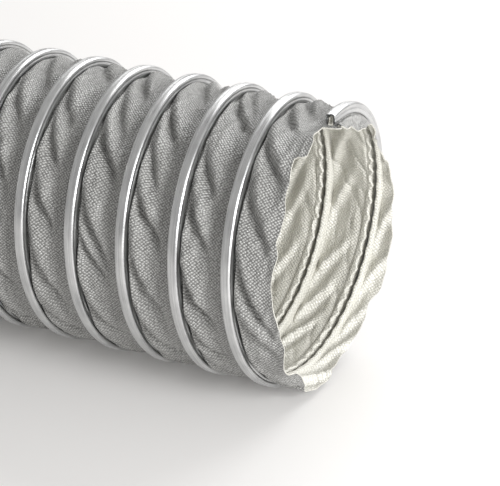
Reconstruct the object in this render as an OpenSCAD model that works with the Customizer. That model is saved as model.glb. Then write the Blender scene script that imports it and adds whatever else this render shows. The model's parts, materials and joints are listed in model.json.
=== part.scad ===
// Flexible air duct: a helical steel clip strip grips the edges of a coated fabric strip.
// The duct's axis is X. The origin is the centre of one open end, and +X leaves that end.

/* [Duct] */
// Inside diameter of the fabric wall
bore_d = 125; // [80:1:200]
// Outside diameter over the clip strip
outer_d = 137; // [92:1:214]
// Advance of the clip strip along the axis in one turn
pitch = 26.6; // [24:0.1:34]
// Whole turns of the clip strip
turn_count = 10; // [4:1:12]
// Fabric beyond the middle of the last clip turn at each end
end_margin = 4; // [3:0.5:8]

/* [Clip strip] */
// Width of the clip strip's outer band
clip_w = 5; // [4:0.1:7]
// Thickness of the clip strip's walls
clip_t = 0.8; // [0.5:0.1:1.2]
// Extra length of clip strip past the top at each end, in degrees
clip_tail = 4; // [3:1:20]
// Gap between the clip strip and the fabric wall
clip_clearance = 0.3; // [0.2:0.05:0.6]

/* [Fabric] */
// Thickness of the coated fabric
fabric_t = 0.6; // [0.4:0.1:1.2]

/* [Sections] */
// Gap left between neighbouring sections, so that each one can move
section_gap = 1.6; // [1.3:0.1:2]

/* [Hidden] */
// The strip bends at whole turns and slides at half turns, so each half turn is one section.
section_count = 2 * (turn_count - 2);
bore_r = bore_d / 2;
fabric_r = bore_r + fabric_t;
clip_r = outer_d / 2;
clip_in_r = fabric_r + clip_clearance;
duct_length = turn_count * pitch + 2 * end_margin;

// Flats per turn: the strip's outline is a polygon around its true circle.
facets = 24;
facet_angle = 360 / facets;
round_fn = 180;

function two_digits(n) = n < 10 ? str("0", n) : str(n);
function clip_name(n) = str("clip_section_", two_digits(n));
function fabric_name(n) = str("fabric_section_", two_digits(n));

// Place along the axis of the strip's middle after this many turns from the mouth end.
function strip_x(turns) = -end_margin - pitch * turns;

// Radius at this angle of the flat-sided outline that touches a circle of radius r.
function outline_r(r, angle) = r / cos(angle - facet_angle * round(angle / facet_angle));

// A point of the strip: turns from the mouth end, radius, and distance across the strip.
function strip_point(turns, r, across) = let (angle = 360 * turns) [
    strip_x(turns) + across,
    outline_r(r, angle) * sin(angle),
    outline_r(r, angle) * cos(angle)
];

// The strip's section: a channel that opens towards the axis, as [across, radius] points.
channel = [
    [-clip_w / 2, clip_in_r],
    [clip_w / 2, clip_in_r],
    [clip_w / 2, clip_r],
    [-clip_w / 2, clip_r]
];
groove = [
    [-clip_w / 2 + clip_t, clip_in_r],
    [clip_w / 2 - clip_t, clip_in_r],
    [clip_w / 2 - clip_t, clip_r - clip_t],
    [-clip_w / 2 + clip_t, clip_r - clip_t]
];
clip_section = concat(
    [channel[0], channel[3], channel[2], channel[1]],
    [groove[1], groove[2], groove[3], groove[0]]
);

// Turns at which the swept strip has a ring of points: both ends and each corner of the outline.
function ring_turns(from, to) = let (
    first = ceil(from * facets + 0.5 + 1e-6) - 0.5,
    last = floor(to * facets - 0.5 - 1e-6) + 0.5
) concat([from], [for (k = [first:1:last]) k / facets], [to]);

// Sweeps the channel along the helix between two turns.
module strip(from, to) {
    rings = ring_turns(from, to);
    sides = len(clip_section);
    points = [
        for (turns = rings, corner = clip_section) strip_point(turns, corner[1], corner[0])
    ];
    walls = [
        for (i = [0:len(rings) - 2], j = [0:sides - 1])
            let (k = (j + 1) % sides, a = i * sides, b = a + sides)
                each [[a + j, a + k, b + k], [a + j, b + k, b + j]]
    ];
    // Each end is three rectangles: the two legs of the channel and the band between them.
    start_cap = [[7, 6, 1, 0], [6, 5, 2, 1], [5, 4, 3, 2]];
    last = (len(rings) - 1) * sides;
    end_cap = [for (face = start_cap) [for (k = [3:-1:0]) last + face[k]]];
    polyhedron(points, concat(start_cap, walls, end_cap), convexity = 6);
}

// Half of the gap between sections, as a fraction of a turn at the strip's outside.
gap_turns = section_gap / 2 / (PI * outer_d);
tail_turns = clip_tail / 360;

module clip_mouth_end() {
    color("silver") strip(-tail_turns, 1 - gap_turns);
}

module clip_section(n) {
    color("silver") strip(1 + (n - 1) / 2 + gap_turns, 1 + n / 2 - gap_turns);
}

module clip_far_end() {
    color("silver") strip(turn_count - 1 + gap_turns, turn_count + tail_turns);
}

// A length of the fabric wall between two places on the axis.
module fabric_tube(high_x, low_x) {
    translate([low_x, 0, 0])
        rotate([0, 90, 0])
            difference() {
                cylinder(r = fabric_r, h = high_x - low_x, $fn = round_fn);
                translate([0, 0, -1])
                    cylinder(r = bore_r, h = high_x - low_x + 2, $fn = round_fn);
            }
}

// Sections of fabric part where the strip's sections do, at whole and half turns.
module fabric_mouth_end() {
    color("gainsboro") fabric_tube(0, strip_x(1) + section_gap / 2);
}

module fabric_section(n) {
    color("darkgray")
        fabric_tube(
            strip_x(1 + (n - 1) / 2) - section_gap / 2,
            strip_x(1 + n / 2) + section_gap / 2
        );
}

module fabric_far_end() {
    color("gainsboro") fabric_tube(strip_x(turn_count - 1) - section_gap / 2, -duct_length);
}

clip_mouth_end();
fabric_mouth_end();
for (n = [1:section_count]) {
    clip_section(n);
    fabric_section(n);
}
clip_far_end();
fabric_far_end();
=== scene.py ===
import json
import math

import bpy
import numpy as np
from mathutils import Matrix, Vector

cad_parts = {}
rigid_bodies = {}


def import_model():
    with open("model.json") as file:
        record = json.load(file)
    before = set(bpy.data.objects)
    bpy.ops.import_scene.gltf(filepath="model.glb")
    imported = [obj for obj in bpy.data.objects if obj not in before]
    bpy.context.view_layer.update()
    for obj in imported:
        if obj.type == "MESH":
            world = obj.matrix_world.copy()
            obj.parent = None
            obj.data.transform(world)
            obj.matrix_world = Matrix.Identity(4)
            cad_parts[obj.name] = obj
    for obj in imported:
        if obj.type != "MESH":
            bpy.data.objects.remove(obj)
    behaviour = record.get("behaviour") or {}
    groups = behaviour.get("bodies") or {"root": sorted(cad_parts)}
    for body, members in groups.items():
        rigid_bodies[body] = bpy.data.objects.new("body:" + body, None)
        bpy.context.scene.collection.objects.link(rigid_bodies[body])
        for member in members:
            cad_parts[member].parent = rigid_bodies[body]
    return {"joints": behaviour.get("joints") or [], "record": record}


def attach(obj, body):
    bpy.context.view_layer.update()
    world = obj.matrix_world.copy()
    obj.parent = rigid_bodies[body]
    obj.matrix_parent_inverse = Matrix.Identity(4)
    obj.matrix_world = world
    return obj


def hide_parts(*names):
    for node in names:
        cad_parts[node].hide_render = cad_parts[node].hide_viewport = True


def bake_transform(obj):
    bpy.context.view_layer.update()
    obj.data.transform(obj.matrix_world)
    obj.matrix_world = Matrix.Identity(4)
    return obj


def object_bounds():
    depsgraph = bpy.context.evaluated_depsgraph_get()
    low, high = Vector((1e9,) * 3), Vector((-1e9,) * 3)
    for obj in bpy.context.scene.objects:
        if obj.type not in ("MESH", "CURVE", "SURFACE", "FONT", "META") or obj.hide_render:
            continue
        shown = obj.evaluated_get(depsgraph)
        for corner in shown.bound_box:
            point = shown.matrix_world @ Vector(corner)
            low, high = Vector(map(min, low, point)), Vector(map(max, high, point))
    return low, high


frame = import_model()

# The duct is one clip strip and one fabric strip, wound side by side round the X axis.
# A place on either strip is given in turns, counted from the top of the mouth end.
# Shapes are worked out in millimetres and become metres when a mesh is made.
MM = 0.001
cad_low, cad_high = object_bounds()

# ---------------------------------------------------------------- sizes from the frame
joints = frame["joints"]
hinge_places = [joint["pos_m"][0] / MM for joint in joints if joint["type"] == "hinge"]
bore_r = frame["record"]["mounts"][0]["dims"]["r_mm"]
pitch = hinge_places[0] - hinge_places[1]
end_margin = -hinge_places[0] - pitch
duct_length = (cad_high.x - cad_low.x) / MM
turn_count = round((duct_length - 2 * end_margin) / pitch)
clip_r = cad_high.z / MM
body_chain = [joints[0]["parent"]] + [joint["child"] for joint in joints]

# ---------------------------------------------------------------- sizes of the looks
clip_tail = 4 / 360  # turns of clip strip past the top at each end
clip_rings = 240  # rings of points per turn of the clip strip
fabric_columns = 400  # columns of points per turn of the fabric strip
fabric_t = 0.6
fold_in = 1.05  # from the middle of the clip to the fabric's edge inside it
flat_r = bore_r + 0.5 * fabric_t
turn_length = 2 * math.pi * flat_r

# The duct's joints bend at whole turns and slide at half turns. Each zone lies round one joint, and
# reaches this many turns to each side of it.
hinge_reach = 5.9 / pitch
slide_reach = 0.5 - hinge_reach
zone_limits = [1 - hinge_reach]
for number, joint in enumerate(joints):
    middle = 1 + number / 2
    zone_limits.append(middle + (hinge_reach if joint["type"] == "hinge" else slide_reach))


def strip_x(turns):
    return -end_margin - pitch * turns


def ring_points(x, turns, radius):
    """Points at these places round the axis, as an array that ends in x, y, z."""
    angle = 2 * np.pi * turns
    return np.stack(np.broadcast_arrays(x, radius * np.sin(angle), radius * np.cos(angle)), -1)


# ---------------------------------------------------------------- smooth random shapes
def smooth_step(x):
    x = np.clip(x, 0, 1)
    return x * x * (3 - 2 * x)


def wander(x, seed):
    """A smooth random curve from -1 to 1 that changes about once per unit of x."""
    values = np.random.default_rng(seed).uniform(-1, 1, 2048)
    cell = np.floor(x).astype(int)
    part = smooth_step(x - cell)
    return values[cell % 2048] * (1 - part) + values[(cell + 1) % 2048] * part


def ripple(x, y, seed):
    """A smooth random surface from -1 to 1 that changes about once per unit of x and y."""
    values = np.random.default_rng(seed).uniform(-1, 1, (256, 256))
    i = np.floor(x).astype(int)
    j = np.floor(y).astype(int)
    across = smooth_step(x - i)
    up = smooth_step(y - j)
    low = values[i % 256, j % 256] * (1 - across) + values[(i + 1) % 256, j % 256] * across
    above = (j + 1) % 256
    high = values[i % 256, above] * (1 - across) + values[(i + 1) % 256, above] * across
    return low * (1 - up) + high * up


# ---------------------------------------------------------------- materials
def new_material(name):
    material = bpy.data.materials.new(name)
    material.use_nodes = True
    tree = material.node_tree
    return material, tree, tree.nodes["Principled BSDF"]


def math_node(tree, operation, first, second=None):
    node = tree.nodes.new("ShaderNodeMath")
    node.operation = operation
    for socket, value in zip(node.inputs, (first, second)):
        if isinstance(value, (int, float)):
            socket.default_value = value
        elif value is not None:
            tree.links.new(value, socket)
    return node.outputs[0]


def strip_coordinates(tree):
    """Metres along the strip and across it."""
    place = tree.nodes.new("ShaderNodeUVMap")
    place.uv_map = "strip"
    return place.outputs["UV"]


def noise(tree, vector, scale, detail=2.0):
    node = tree.nodes.new("ShaderNodeTexNoise")
    node.inputs["Scale"].default_value = scale
    node.inputs["Detail"].default_value = detail
    tree.links.new(vector, node.inputs["Vector"])
    return node.outputs["Fac"]


def stretched(tree, vector, scale):
    node = tree.nodes.new("ShaderNodeVectorMath")
    node.operation = "MULTIPLY"
    node.inputs[1].default_value = scale
    tree.links.new(vector, node.inputs[0])
    return node.outputs[0]


def colour_ramp(tree, factor, stops):
    node = tree.nodes.new("ShaderNodeValToRGB")
    ramp = node.color_ramp
    while len(ramp.elements) < len(stops):
        ramp.elements.new(0.5)
    for element, (place, colour) in zip(ramp.elements, stops):
        element.position = place
        element.color = (*colour, 1)
    tree.links.new(factor, node.inputs[0])
    return node.outputs[0]


def bump(tree, height, distance, strength, under=None):
    node = tree.nodes.new("ShaderNodeBump")
    node.inputs["Strength"].default_value = strength
    node.inputs["Distance"].default_value = distance
    tree.links.new(height, node.inputs["Height"])
    if under is not None:
        tree.links.new(under, node.inputs["Normal"])
    return node.outputs[0]


def cells(tree, vector, scale, randomness):
    """Distance from the middle of the nearest cell, in a grid that is a little irregular."""
    node = tree.nodes.new("ShaderNodeTexVoronoi")
    node.inputs["Scale"].default_value = scale
    node.inputs["Randomness"].default_value = randomness
    tree.links.new(vector, node.inputs["Vector"])
    return node.outputs["Distance"]


def slanted(tree, vector, angle):
    node = tree.nodes.new("ShaderNodeVectorRotate")
    node.rotation_type = "Z_AXIS"
    node.inputs["Angle"].default_value = angle
    tree.links.new(vector, node.inputs["Vector"])
    return node.outputs[0]


def coated_weave(name, dark, light, rough, bead, relief):
    """A plain weave under a glossy coat: one bead where each thread comes to the surface. Each bead's
    colour is lighter at its top, a painted highlight.

    bead is a bead's width, and relief is its height, both in metres.
    """
    material, tree, shader = new_material(name)
    place = strip_coordinates(tree)
    bias, irregular = 0.8, 0.3
    threads = slanted(tree, stretched(tree, place, (1.1, 0.95, 1.0)), bias)
    from_middle = math_node(tree, "MULTIPLY", cells(tree, threads, 1 / bead, irregular), 1.7)
    beads = math_node(tree, "SUBTRACT", 1.0, math_node(tree, "POWER", from_middle, 2.0))
    beads = math_node(tree, "MAXIMUM", beads, 0.0)
    grain = noise(tree, place, 1400.0, 2.0)
    cloth = math_node(tree, "ADD", beads, math_node(tree, "MULTIPLY", grain, 0.4))
    patches = noise(tree, place, 55.0, 3.0)
    # The beads lighten the colour towards their tops: a painted highlight on each bead. The grain and
    # the patches are the cloth's own tone.
    fine = math_node(tree, "MULTIPLY", cloth, 0.6)
    shade = math_node(tree, "ADD", fine, math_node(tree, "MULTIPLY", patches, 0.3))
    tree.links.new(colour_ramp(tree, shade, [(0.25, dark), (0.9, light)]), shader.inputs["Base Color"])
    spread = math_node(tree, "MULTIPLY", math_node(tree, "SUBTRACT", patches, 0.5), 0.25)
    tree.links.new(math_node(tree, "ADD", spread, rough), shader.inputs["Roughness"])
    tree.links.new(bump(tree, cloth, relief, 1.0), shader.inputs["Normal"])
    return material, shader


def outer_cloth_material():
    dark, light = (0.18, 0.18, 0.173), (0.50, 0.50, 0.485)
    material, shader = coated_weave(
        "coated_cloth_outside", dark, light, rough=0.25, bead=0.0012, relief=0.00045
    )
    shader.inputs["Specular IOR Level"].default_value = 1.0
    return material


def inner_cloth_material():
    dark, light = (0.70, 0.69, 0.63), (0.85, 0.84, 0.78)
    material, shader = coated_weave(
        "coated_cloth_inside", dark, light, rough=0.22, bead=0.0013, relief=0.0003
    )
    shader.inputs["Specular IOR Level"].default_value = 0.8
    return material


def cut_edge_material():
    material, tree, shader = new_material("cloth_cut_edge")
    place = strip_coordinates(tree)
    threads = noise(tree, stretched(tree, place, (1500.0, 200.0, 1.0)), 1.0)
    stops = [(0.3, (0.42, 0.41, 0.37)), (0.7, (0.66, 0.65, 0.60))]
    tree.links.new(colour_ramp(tree, threads, stops), shader.inputs["Base Color"])
    tree.links.new(bump(tree, threads, 0.0002, 0.6), shader.inputs["Normal"])
    shader.inputs["Roughness"].default_value = 0.75
    return material


def clip_material():
    """Galvanised strip, rolled lengthwise: fine streaks along it, and patches of zinc."""
    material, tree, shader = new_material("galvanised_strip")
    place = strip_coordinates(tree)
    streaks = noise(tree, stretched(tree, place, (18.0, 2600.0, 1.0)), 1.0, 3.0)
    patches = noise(tree, stretched(tree, place, (90.0, 160.0, 1.0)), 1.0, 3.0)
    grain = noise(tree, place, 1500.0, 2.0)
    streak_part = math_node(tree, "MULTIPLY", streaks, 0.6)
    mixed = math_node(tree, "ADD", streak_part, math_node(tree, "MULTIPLY", patches, 0.4))
    stops = [(0.36, (0.46, 0.465, 0.47)), (0.64, (0.78, 0.785, 0.78))]
    tree.links.new(colour_ramp(tree, mixed, stops), shader.inputs["Base Color"])
    shader.inputs["Metallic"].default_value = 1.0
    spread = math_node(tree, "MULTIPLY", math_node(tree, "SUBTRACT", mixed, 0.5), 0.35)
    tree.links.new(math_node(tree, "ADD", spread, 0.32), shader.inputs["Roughness"])
    fine = bump(tree, grain, 0.00005, 0.5)
    tree.links.new(bump(tree, streaks, 0.00011, 0.8, fine), shader.inputs["Normal"])
    return material


def floor_material():
    material, tree, shader = new_material("plain_floor")
    shader.inputs["Base Color"].default_value = (0.81, 0.80, 0.79, 1)
    shader.inputs["Roughness"].default_value = 0.6
    # The floor is lit a little from below, which keeps the shadow light.
    shader.inputs["Emission Color"].default_value = (1.0, 0.98, 0.96, 1)
    shader.inputs["Emission Strength"].default_value = 0.1
    return material


outer_cloth = outer_cloth_material()
inner_cloth = inner_cloth_material()
cut_edge = cut_edge_material()
clip_metal = clip_material()


# ---------------------------------------------------------------- meshes
def make_piece(name, points, faces, normals, places, materials, face_materials):
    """A smooth mesh object with its own normals, and with its place on the strip as the UV map."""
    mesh = bpy.data.meshes.new(name)
    mesh.from_pydata((np.asarray(points) * MM).tolist(), [], faces)
    for material in materials:
        mesh.materials.append(material)
    mesh.polygons.foreach_set("material_index", face_materials)
    mesh.polygons.foreach_set("use_smooth", [True] * len(faces))
    corner_points = np.empty(len(mesh.loops), np.int32)
    mesh.loops.foreach_get("vertex_index", corner_points)
    layer = mesh.uv_layers.new(name="strip")
    layer.data.foreach_set("uv", (np.asarray(places)[corner_points] * MM).astype(np.float32).ravel())
    mesh.normals_split_custom_set_from_vertices(np.asarray(normals).tolist())
    mesh.update()
    piece = bpy.data.objects.new(name, mesh)
    bpy.context.scene.collection.objects.link(piece)
    return piece


def follow_bodies(piece, zone):
    """The end pieces ride on a body. A piece between them stays where it is made, on no body."""
    if zone in (0, len(body_chain)):
        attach(piece, body_chain[0 if zone == 0 else -1])
        return
    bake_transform(piece)


def zone_name(zone):
    if zone == 0:
        return "mouth_end"
    if zone == len(body_chain):
        return "far_end"
    return f"zone_{zone:02d}"


def stand_for(kind, zone):
    """Each piece stands for the CAD node nearest to it. The last zone shares the far end's."""
    body = body_chain[min(zone, len(body_chain) - 1)]
    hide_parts(f"{kind}_{body}")


# ---------------------------------------------------------------- clip strip
# One side of the strip's section, from the middle of the band to the hem that grips the fabric
# and back along the inside, as (distance from the middle, depth below the outside).
CLIP_SIDE = [
    (0.0, 0.06), (0.8, 0.0), (1.35, 0.05), (1.75, 0.2), (2.1, 0.46), (2.35, 0.82), (2.48, 1.25),
    (2.5, 1.7), (2.42, 2.05), (2.16, 2.3), (2.2, 2.6), (2.42, 2.9), (2.5, 3.3), (2.44, 4.0),
    (2.3, 4.6), (2.0, 5.0), (1.72, 4.9), (1.6, 4.6), (1.66, 4.2), (1.6, 3.6), (1.5, 3.1),
    (1.4, 2.6), (1.5, 2.2), (1.72, 1.9), (1.7, 1.3), (1.5, 1.0), (1.1, 0.8), (0.0, 0.78),
]


def clip_section():
    """The closed outline of the strip's section, as (towards the mouth, depth) pairs."""
    mirrored = [(-across, depth) for across, depth in reversed(CLIP_SIDE[1:-1])]
    return np.array(CLIP_SIDE + mirrored)


def clip_normals(section, turns):
    """Which way each point of the swept section faces, from the points beside it."""
    edge = np.roll(section, -1, axis=0) - np.roll(section, 1, axis=0)
    facing = np.stack([edge[:, 1], edge[:, 0]], axis=1)
    facing /= np.linalg.norm(facing, axis=1)[:, None]
    return ring_points(np.broadcast_to(facing[:, 0], turns.shape), turns, facing[:, 1])


def clip_piece(zone, section):
    lowest, highest = -clip_tail, turn_count + clip_tail
    start = lowest if zone == 0 else zone_limits[zone - 1]
    end = highest if zone == len(body_chain) else zone_limits[zone]
    first = math.floor(start * clip_rings) + 1
    last = math.ceil(end * clip_rings) - 1
    rings = np.array([start, *(np.arange(first, last + 1) / clip_rings), end])
    sides = len(section)
    turns = np.repeat(rings[:, None], sides, axis=1)
    # Each cut end is a little ragged.
    ragged = 0.0007 * wander(np.arange(sides) * 0.9, seed=5)
    if zone == 0:
        turns[0] += ragged
    if zone == len(body_chain):
        turns[-1] += ragged
    # The strip wavers slightly, as a long thin strip does once it is handled.
    shift = 0.1 * wander(turns * 5.0, seed=11)
    out = 0.12 * wander(turns * 7.0, seed=12)
    points = ring_points(strip_x(turns) + section[:, 0] + shift, turns, clip_r + out - section[:, 1])
    outline = np.concatenate([[0], np.cumsum(np.linalg.norm(np.diff(section, axis=0), axis=1))])
    places = np.stack([turns * turn_length, np.broadcast_to(outline, turns.shape)], -1)
    faces = []
    for ring in range(len(rings) - 1):
        for side in range(sides):
            beside = (side + 1) % sides
            near, far = ring * sides, (ring + 1) * sides
            faces.append((near + side, near + beside, far + beside, far + side))
    # The wall's thickness shows at the two cut ends.
    half = len(CLIP_SIDE)
    last_ring = (len(rings) - 1) * sides
    for shown, base, flipped in ((zone == 0, 0, True), (zone == len(body_chain), last_ring, False)):
        if shown:
            faces.extend(cut_end_faces(base, sides, half, flipped))
    piece = make_piece(
        f"clip_strip_{zone_name(zone)}",
        points.reshape(-1, 3),
        faces,
        clip_normals(section, turns).reshape(-1, 3),
        places.reshape(-1, 2),
        [clip_metal],
        [0] * len(faces),
    )
    stand_for("clip", zone)
    follow_bodies(piece, zone)


def cut_end_faces(base, sides, half, flipped):
    """Quads across the wall's thickness, between matching points of its outside and inside."""
    outside = list(range(half // 2))
    inside = [half - 1 - k for k in outside]
    left_outside = [(-k) % sides for k in outside]
    left_inside = [half - 1 + k for k in outside]
    faces = []
    for outer, inner, turned in ((outside, inside, False), (left_outside, left_inside, True)):
        for k in range(len(outer) - 1):
            face = [base + outer[k], base + outer[k + 1], base + inner[k + 1], base + inner[k]]
            if turned != flipped:
                face.reverse()
            faces.append(tuple(face))
    return faces


# ---------------------------------------------------------------- fabric strip
# The fabric runs from one turn of the clip to the next. "across" is measured from the middle of
# the turn nearer the mouth, away from the mouth, so the next turn is one pitch across.
# Three rows lie in the clip, and three round the lip that the fabric turns over inside the duct.
fold_across = np.array([fold_in, 1.1, 1.3, 0.0, 0.15, 0.6])
fold_radius = clip_r - np.array([2.0, 3.4, 4.8, 5.7, 6.3, 6.5])
on_lip = np.array([0, 0, 0, 1, 1, 1])
near_lip = (0.2, 2.1)  # the lip's least distance from the clip's middle, and how far it waves
far_lip = (1.2, 0.6)
grip = 3.0  # where the fabric comes out from under the clip
pinned_r = clip_r - 6.0
row_share = np.linspace(0, 1, 33)
row_share = row_share - 0.85 * np.sin(2 * np.pi * row_share) / (2 * np.pi)
wall_rows = grip + (pitch - 2 * grip) * row_share  # closer together beside the clip

valley_spacing = 28.0
valley_turn = 3.5  # how far from the clip a diagonal fold turns from along it to across the strip
bay_length = 8.5  # along the lip, from one sharp tip to the next
near_rise, far_rise = 1.3, 0.6  # how soon the wall leaves the clip, on each side of the strip
no_edge = 9.0  # stands for any distance from a cut edge, where there is none


def puckers(turns, seed):
    """How far the lip is pushed back from the clip, from 0 to 1: round bays between sharp tips."""
    position = turns * turn_length
    size = 0.78 + 0.22 * wander(position / 17, seed + 1)
    return np.abs(np.sin(np.pi * position / bay_length + 0.8 * wander(position / 15, seed))) * size


def valleys(turns, across):
    """The diagonal folds: each starts at the clip farther from the mouth and runs down the strip."""
    random = np.random.default_rng(21)
    position = turns * turn_length
    from_clip = pitch - grip - across
    depth = np.zeros(np.broadcast(turns, across).shape)
    lowest, highest = position.min(), position.max()
    first = math.floor(-1.2 * turn_length / valley_spacing)
    last = math.ceil((turn_count + 0.5) * turn_length / valley_spacing)
    for number in range(first, last):
        start = (number + random.uniform(-0.28, 0.28)) * valley_spacing
        slope = random.uniform(1.0, 2.0)
        drop = random.uniform(4, 10)
        reach = random.uniform(13, 19)
        deep = random.uniform(3.6, 5.2)
        half_width = random.uniform(1.9, 2.8)
        if start < lowest - 10 or start > highest + 80:
            continue
        # Only the columns that the fold can reach are worked out.
        near = np.abs(position[:, 0] - start + 25) < 75
        way = from_clip[near] if from_clip.shape[0] > 1 else from_clip
        # It starts along the clip, and then turns across the strip.
        bend = np.exp(-np.maximum(way, 0) / valley_turn)
        line = start - slope * way - drop * (1 - bend)
        off = (position[near] - line) / np.hypot(1, slope + drop / valley_turn * bend)
        fade = smooth_step((reach - way) / 8) * (0.35 + 0.65 * smooth_step(way / 4))
        width = np.where(off > 0, 0.85, 1.3) * half_width
        floor = np.exp(-((off / width) ** 2))
        crest = 0.4 * np.exp(-(((off - 2.2 * half_width) / (1.7 * half_width)) ** 2))
        depth[near] += deep * fade * (crest - floor)
    depth *= 0.8 - 0.2 * np.sin(2 * np.pi * turns)
    return np.maximum(depth, -5.0)


def creases(turns, across):
    """Finer crinkles, sharp along their ridges."""
    position = turns * turn_length
    slanted_place = position + 1.6 * across
    broad = ripple(slanted_place / 17, across / 8, seed=31)
    ridge = 1 - np.abs(ripple(slanted_place / 14 + 9, across / 7, seed=32))
    fine = ripple(slanted_place / 6, across / 4.5, seed=33)
    return 0.6 * broad + 1.0 * (ridge**4 - 0.25) + 0.22 * fine


def wall_radius(turns, across):
    """The fabric between two turns of the clip: low beside one, and puffed out beside the other."""
    wave = 1.6 * wander(turns * turn_length / 13, seed=35)
    swell = 2.0 * (across - grip) / (pitch - 2 * grip) + 1.2 * smooth_step((across + wave - 10) / 5)
    sag = 1.3 * np.cos(2 * np.pi * turns)  # the slack hangs inwards at the top
    shape = swell + 0.1 - sag + valleys(turns, across) + creases(turns, across)
    window = smooth_step((across - grip) / near_rise)
    window = window * smooth_step((pitch - grip - across) / far_rise)
    below_shoulder = clip_r - 1.4
    return np.minimum(pinned_r + window * shape, below_shoulder)


# The cut edge at the mouth: where it is round the axis in turns, how far it stands out past its
# plane, and its radius. It is snipped unevenly, and turned in beside the clip's cut end.
MOUTH_EDGE = [
    (0.00, 1.0, 62.5), (0.03, 0.5, 60.5), (0.07, 1.0, 59.5), (0.10, -1.0, 60.0), (0.14, -3.5, 61.5),
    (0.18, -5.0, 62.5), (0.195, -2.0, 64.0), (0.25, -1.0, 65.0), (0.32, 1.0, 66.0), (0.37, -2.0, 65.0),
    (0.43, -3.0, 66.0), (0.46, -5.0, 64.0), (0.51, -2.0, 64.5), (0.57, -3.0, 65.5), (0.59, -1.0, 62.5),
    (0.625, -1.0, 62.0), (0.645, -1.0, 65.0), (0.69, 0.0, 63.0), (0.75, -1.0, 66.0), (0.785, -3.0, 66.0),
    (0.81, -2.5, 66.0), (0.87, -4.0, 66.0), (0.915, -7.5, 66.0), (0.92, -2.5, 66.0), (0.94, -2.5, 66.0),
    (0.98, -6.5, 65.0), (0.985, 1.0, 63.0), (1.00, 1.0, 62.5),
]
free_rise = 3.0  # how far the free fabric stands out past the fold
free_near_rise = 2.2  # how soon it does so at the far end
edge_room = 7  # how far the grid of the free fabric runs past the end of the duct
let_go = 0.05  # turns over which the clip's last stretch lets go of the fabric


def along_edge(turns, column):
    angle = turns % 1
    places = np.array(MOUTH_EDGE)
    return np.interp(angle, places[:, 0], places[:, column])


def mouth_edge(turns):
    """How far the cut edge at the mouth stands out past its plane."""
    snips = 0.8 * wander(turns * 29, seed=41) + 0.9 * wander(turns * 61, seed=42)
    return along_edge(turns, 1) + snips


def flare(turns, to_edge, seed):
    """Past the last turn of the clip nothing holds the fabric: it opens out in lobes."""
    rise = along_edge(turns, 2) - pinned_r - free_rise
    loose = 1 + 1.2 * np.exp(-((((turns % 1) - 0.1) / 0.08) ** 2))
    ruffle = loose * (1.4 * wander(turns * 23, seed + 1) + 1.8 * wander(turns * 47, seed + 2))
    near_edge = np.exp(-np.maximum(to_edge, 0) / 4)
    return np.exp(-np.maximum(to_edge, 0) / 8) * rise + near_edge * ruffle


class Strip:
    """A stretch of the fabric strip as a grid: columns along it, and rows across it."""

    def __init__(self, turns, across, radius, room_at_edge, join):
        self.turns = np.broadcast_to(turns, radius.shape)
        self.middle = ring_points(strip_x(self.turns) - across, self.turns, radius)
        along, sideways = np.gradient(self.middle, axis=(0, 1))
        facing = np.cross(along, sideways)
        self.normals = facing / np.linalg.norm(facing, axis=-1)[..., None]
        # The fabric in a fold moves with the clip, so its place stops there. A free edge goes on.
        share = (across - fold_in) / (pitch - 2 * fold_in)
        low, high = join
        self.where = self.turns + np.clip(share, 0 if low else -np.inf, 1 if high else np.inf)
        rise = np.hypot(np.diff(across.mean(axis=0)), np.diff(radius.mean(axis=0)))
        flat_across = np.concatenate([[0], np.cumsum(rise)])
        self.width = flat_across[-1]
        self.flat = np.stack([self.turns * turn_length, np.broadcast_to(flat_across, radius.shape)], -1)
        self.room = room_at_edge


def fold_rows(turns, lip, seed):
    """Across and radius of the fold in the clip: its rows from inside the clip outwards."""
    least, wave = lip
    radius = np.broadcast_to(fold_radius, (len(turns), len(fold_radius)))
    return fold_across + on_lip * (least + wave * puckers(turns, seed)), radius


def column_turns(start, end):
    count = max(2, round((end - start) * fabric_columns) + 1)
    return np.linspace(start, end, count)[:, None]


def body_strip():
    turns = column_turns(-clip_tail, turn_count - 1 + clip_tail)
    mouth_across, mouth_radius = fold_rows(turns, near_lip, seed=51)
    far_across, far_radius = fold_rows(turns + 1, far_lip, seed=53)
    rows = np.broadcast_to(wall_rows, (len(turns), len(wall_rows)))
    across = np.hstack([mouth_across, rows, (pitch - far_across)[:, ::-1]])
    radius = np.hstack([mouth_radius, wall_radius(turns, rows), far_radius[:, ::-1]])
    return Strip(turns, across, radius, np.full(radius.shape, no_edge), (True, True))


def mouth_strip():
    """From the cut edge at the mouth to the first turn of the clip."""
    turns = column_turns(-1 - clip_tail, -clip_tail)
    free_rows = np.linspace(-edge_room, grip, 11)[:-1]
    main = np.concatenate([free_rows, wall_rows])
    rows = np.broadcast_to(main, (len(turns), len(main)))
    edge = strip_x(turns) - mouth_edge(turns)
    to_edge = rows - edge
    held = smooth_step((turns + clip_tail + let_go) / let_go)
    puffed = smooth_step((pitch - grip - rows) / far_rise)
    folds = 0.8 * (valleys(turns, rows) + creases(turns, rows))
    free = pinned_r + puffed * (free_rise + folds + flare(turns, to_edge, seed=61))
    radius = held * wall_radius(turns, rows) + (1 - held) * free
    far_across, far_radius = fold_rows(turns + 1, far_lip, seed=53)
    across = np.hstack([rows, (pitch - far_across)[:, ::-1]])
    radius = np.hstack([radius, far_radius[:, ::-1]])
    return Strip(turns, across, radius, across - edge, (False, True))


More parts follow.
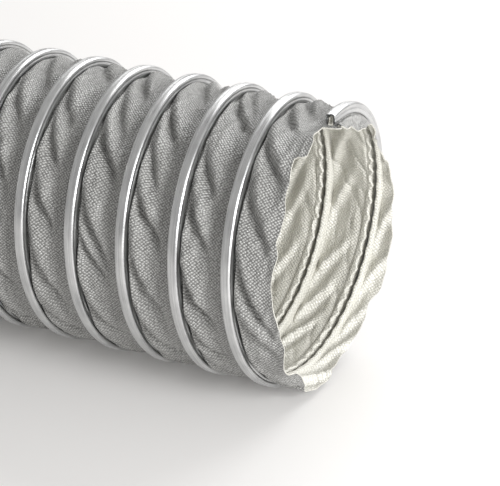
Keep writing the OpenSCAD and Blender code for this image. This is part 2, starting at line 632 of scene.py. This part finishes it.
def far_strip():
    """From the last turn of the clip to the cut edge at the far end."""
    turns = column_turns(turn_count - 1 + clip_tail, turn_count + clip_tail)
    free_rows = np.linspace(pitch - grip, pitch + edge_room, 11)[1:]
    main = np.concatenate([wall_rows, free_rows])
    rows = np.broadcast_to(main, (len(turns), len(main)))
    # The far end is cut as the mouth is, but turned round the axis.
    edge = strip_x(turns) + duct_length + mouth_edge(turns + 0.37)
    to_edge = edge - rows
    held = smooth_step((turn_count - 1 + clip_tail + let_go - turns) / let_go)
    puffed = smooth_step((rows - grip) / free_near_rise)
    folds = 0.7 * (valleys(turns, rows) + creases(turns, rows))
    free = pinned_r + puffed * (free_rise + folds + flare(turns, to_edge, seed=71))
    radius = held * wall_radius(turns, rows) + (1 - held) * free
    mouth_across, mouth_radius = fold_rows(turns, near_lip, seed=51)
    across = np.hstack([mouth_across, rows])
    radius = np.hstack([mouth_radius, radius])
    return Strip(turns, across, radius, edge - across, (True, False))


# What a corner of a cell holds, as places in one row of numbers.
WHERE, ROOM = 0, 1
FLAT, MIDDLE, FACING = slice(2, 4), slice(4, 7), slice(7, 10)


class Cutter:
    """Collects one zone's faces from the strips, and cuts the cells that the zone's limits cross."""

    def __init__(self, low, high):
        self.low, self.high = low, high
        self.points, self.normals, self.places, self.where = [], [], [], []
        self.faces, self.rims = [], []
        self.flat_area = 0.0
        self.found = {}

    def corner(self, values):
        key = tuple(np.round(values[: FLAT.stop], 6))
        if key not in self.found:
            self.found[key] = len(self.points)
            self.points.append(values[MIDDLE])
            self.normals.append(values[FACING])
            self.places.append(values[FLAT])
            self.where.append(values[WHERE])
        return self.found[key]

    @staticmethod
    def trimmed(polygon, room):
        """The part of a polygon where room(corner) is at least 0, cut along its edges."""
        kept = []
        for first, second in zip(polygon, polygon[1:] + polygon[:1]):
            one, two = room(first), room(second)
            if one >= 0:
                kept.append(first)
            if (one > 0 > two) or (one < 0 < two):
                kept.append(first + (second - first) * (one / (one - two)))
        return kept

    def add(self, strip):
        single = [strip.where[..., None], strip.room[..., None]]
        values = np.concatenate([*single, strip.flat, strip.middle, strip.normals], axis=-1)
        where = strip.where
        corners = [where[:-1, :-1], where[1:, :-1], where[1:, 1:], where[:-1, 1:]]
        smallest, largest = np.minimum.reduce(corners), np.maximum.reduce(corners)
        rooms = [strip.room[:-1, :-1], strip.room[1:, :-1], strip.room[1:, 1:], strip.room[:-1, 1:]]
        wanted = (largest > self.low) & (smallest < self.high) & (np.maximum.reduce(rooms) > 0)
        whole = (smallest >= self.low) & (largest <= self.high) & (np.minimum.reduce(rooms) > 0)
        for i, j in zip(*np.nonzero(wanted)):
            polygon = [values[i, j], values[i + 1, j], values[i + 1, j + 1], values[i, j + 1]]
            if not whole[i, j]:
                polygon = self.trimmed(polygon, lambda corner: corner[WHERE] - self.low)
                polygon = self.trimmed(polygon, lambda corner: self.high - corner[WHERE])
                polygon = self.trimmed(polygon, lambda corner: corner[ROOM])
                if len(polygon) < 3:
                    continue
            numbers = [self.corner(corner) for corner in polygon]
            tidy = [n for k, n in enumerate(numbers) if n != numbers[k - 1]]
            if len(tidy) < 3:
                continue
            self.faces.append(tidy)
            flat = np.array([corner[FLAT] for corner in polygon])
            beside = np.roll(flat, -1, axis=0)
            self.flat_area += abs((flat[:, 0] * beside[:, 1] - flat[:, 1] * beside[:, 0]).sum()) / 2
            for first, second in zip(polygon, polygon[1:] + polygon[:1]):
                if abs(first[ROOM]) < 1e-6 and abs(second[ROOM]) < 1e-6:
                    rim = (self.corner(first), self.corner(second))
                    if rim[0] != rim[1]:
                        self.rims.append(rim)


def cloth_shell(cutter):
    """Both faces of the cloth and its cut edge, from the middle surface that the cutter holds."""
    middle, facing = np.array(cutter.points), np.array(cutter.normals)
    places, count = np.array(cutter.places), len(cutter.points)
    outside = middle + 0.5 * fabric_t * facing
    inside = middle - 0.5 * fabric_t * facing
    points, normals, spots = [outside, inside], [facing, -facing], [places, places]
    where = cutter.where * 2
    faces = [tuple(face) for face in cutter.faces]
    faces += [tuple(count + n for n in reversed(face)) for face in cutter.faces]
    kinds = [0] * len(cutter.faces) + [1] * len(cutter.faces)
    if cutter.rims:
        # The cut edge has corners of its own, so that its shading stays apart from the faces'.
        pairs = np.array(cutter.rims)
        along = middle[pairs[:, 1]] - middle[pairs[:, 0]]
        out = np.cross(along, 0.5 * (facing[pairs[:, 0]] + facing[pairs[:, 1]]))
        out /= np.linalg.norm(out, axis=1)[:, None]
        for skin, side in ((outside, 1), (outside, 0), (inside, 0), (inside, 1)):
            ends = pairs[:, side]
            points.append(skin[ends])
            normals.append(out)
            spots.append(places[ends])
            where = where + [cutter.where[n] for n in ends]
        base, rims = 2 * count, len(pairs)
        faces += [tuple(base + rims * k + n for k in range(4)) for n in range(rims)]
        kinds += [2] * rims
    joined = [np.concatenate(part) for part in (points, normals, spots)]
    return *joined, where, faces, kinds


def fabric_piece(zone, strips):
    low = zone_limits[zone - 1] if zone > 0 else -math.inf
    high = zone_limits[zone] if zone < len(body_chain) else math.inf
    cutter = Cutter(low, high)
    for strip in strips:
        cutter.add(strip)
    points, normals, spots, where, faces, kinds = cloth_shell(cutter)
    materials = [outer_cloth, inner_cloth, cut_edge]
    name = f"fabric_strip_{zone_name(zone)}"
    piece = make_piece(name, points, faces, normals, spots, materials, kinds)
    stand_for("fabric", zone)
    follow_bodies(piece, zone)


def build_clip():
    section = clip_section()
    for zone in range(len(body_chain) + 1):
        clip_piece(zone, section)


def build_fabric():
    strips = [mouth_strip(), body_strip(), far_strip()]
    for zone in range(len(body_chain) + 1):
        fabric_piece(zone, strips)


# ---------------------------------------------------------------- camera, floor and light
def direction(azimuth, elevation):
    """A unit vector from the duct towards a viewer. Azimuth 0 is on the -Y side."""
    turn, rise = math.radians(azimuth), math.radians(elevation)
    return Vector((math.sin(turn) * math.cos(rise), -math.cos(turn) * math.cos(rise), math.sin(rise)))


def make_camera():
    azimuth, elevation, distance = 26.74, 25.1, 0.9375
    back = direction(azimuth, elevation)
    right = direction(azimuth + 90, 0)
    up = right.cross(-back)
    # The view is centred on a place near the first whole turn of the clip.
    aim = Vector((strip_x(1) * MM, 0, 0)) - right * 0.0139 - up * 0.0024
    data = bpy.data.cameras.new("camera")
    data.lens = 145.0
    data.sensor_width = 36.0
    camera = bpy.data.objects.new("camera", data)
    camera.location = aim + back * distance
    camera.rotation_mode = "QUATERNION"
    camera.rotation_quaternion = (-back).to_track_quat("-Z", "Y")
    bpy.context.scene.collection.objects.link(camera)
    bpy.context.scene.camera = camera


def make_floor():
    size = 6.0
    mesh = bpy.data.meshes.new("floor")
    corners = [(-size, -size, 0), (size, -size, 0), (size, size, 0), (-size, size, 0)]
    mesh.from_pydata(corners, [], [(0, 1, 2, 3)])
    mesh.materials.append(floor_material())
    floor = bpy.data.objects.new("floor", mesh)
    gap = 0.0002
    floor.location.z = cad_low.z - gap
    bpy.context.scene.collection.objects.link(floor)


def area_light(name, azimuth, elevation, distance, size, power):
    data = bpy.data.lights.new(name, "AREA")
    data.shape = "RECTANGLE"
    data.size, data.size_y = size
    data.energy = power
    light = bpy.data.objects.new(name, data)
    middle = (cad_low + cad_high) / 2
    away = direction(azimuth, elevation)
    light.location = middle + away * distance
    light.rotation_mode = "QUATERNION"
    light.rotation_quaternion = away.to_track_quat("Z", "Y")
    bpy.context.scene.collection.objects.link(light)


def make_light():
    world = bpy.data.worlds.new("studio")
    world.use_nodes = True
    shade = world.node_tree.nodes["Background"]
    shade.inputs["Color"].default_value = (1.0, 0.99, 0.98, 1)
    shade.inputs["Strength"].default_value = 0.5
    bpy.context.scene.world = world
    area_light("back_light", 172, 36, 1.6, (1.6, 1.0), 16)
    area_light("key_light", 70, 20, 1.3, (0.5, 0.6), 14)
    settings = bpy.context.scene.view_settings
    settings.view_transform = "Standard"
    settings.look = "None"


make_camera()
build_clip()
build_fabric()
make_floor()
make_light()
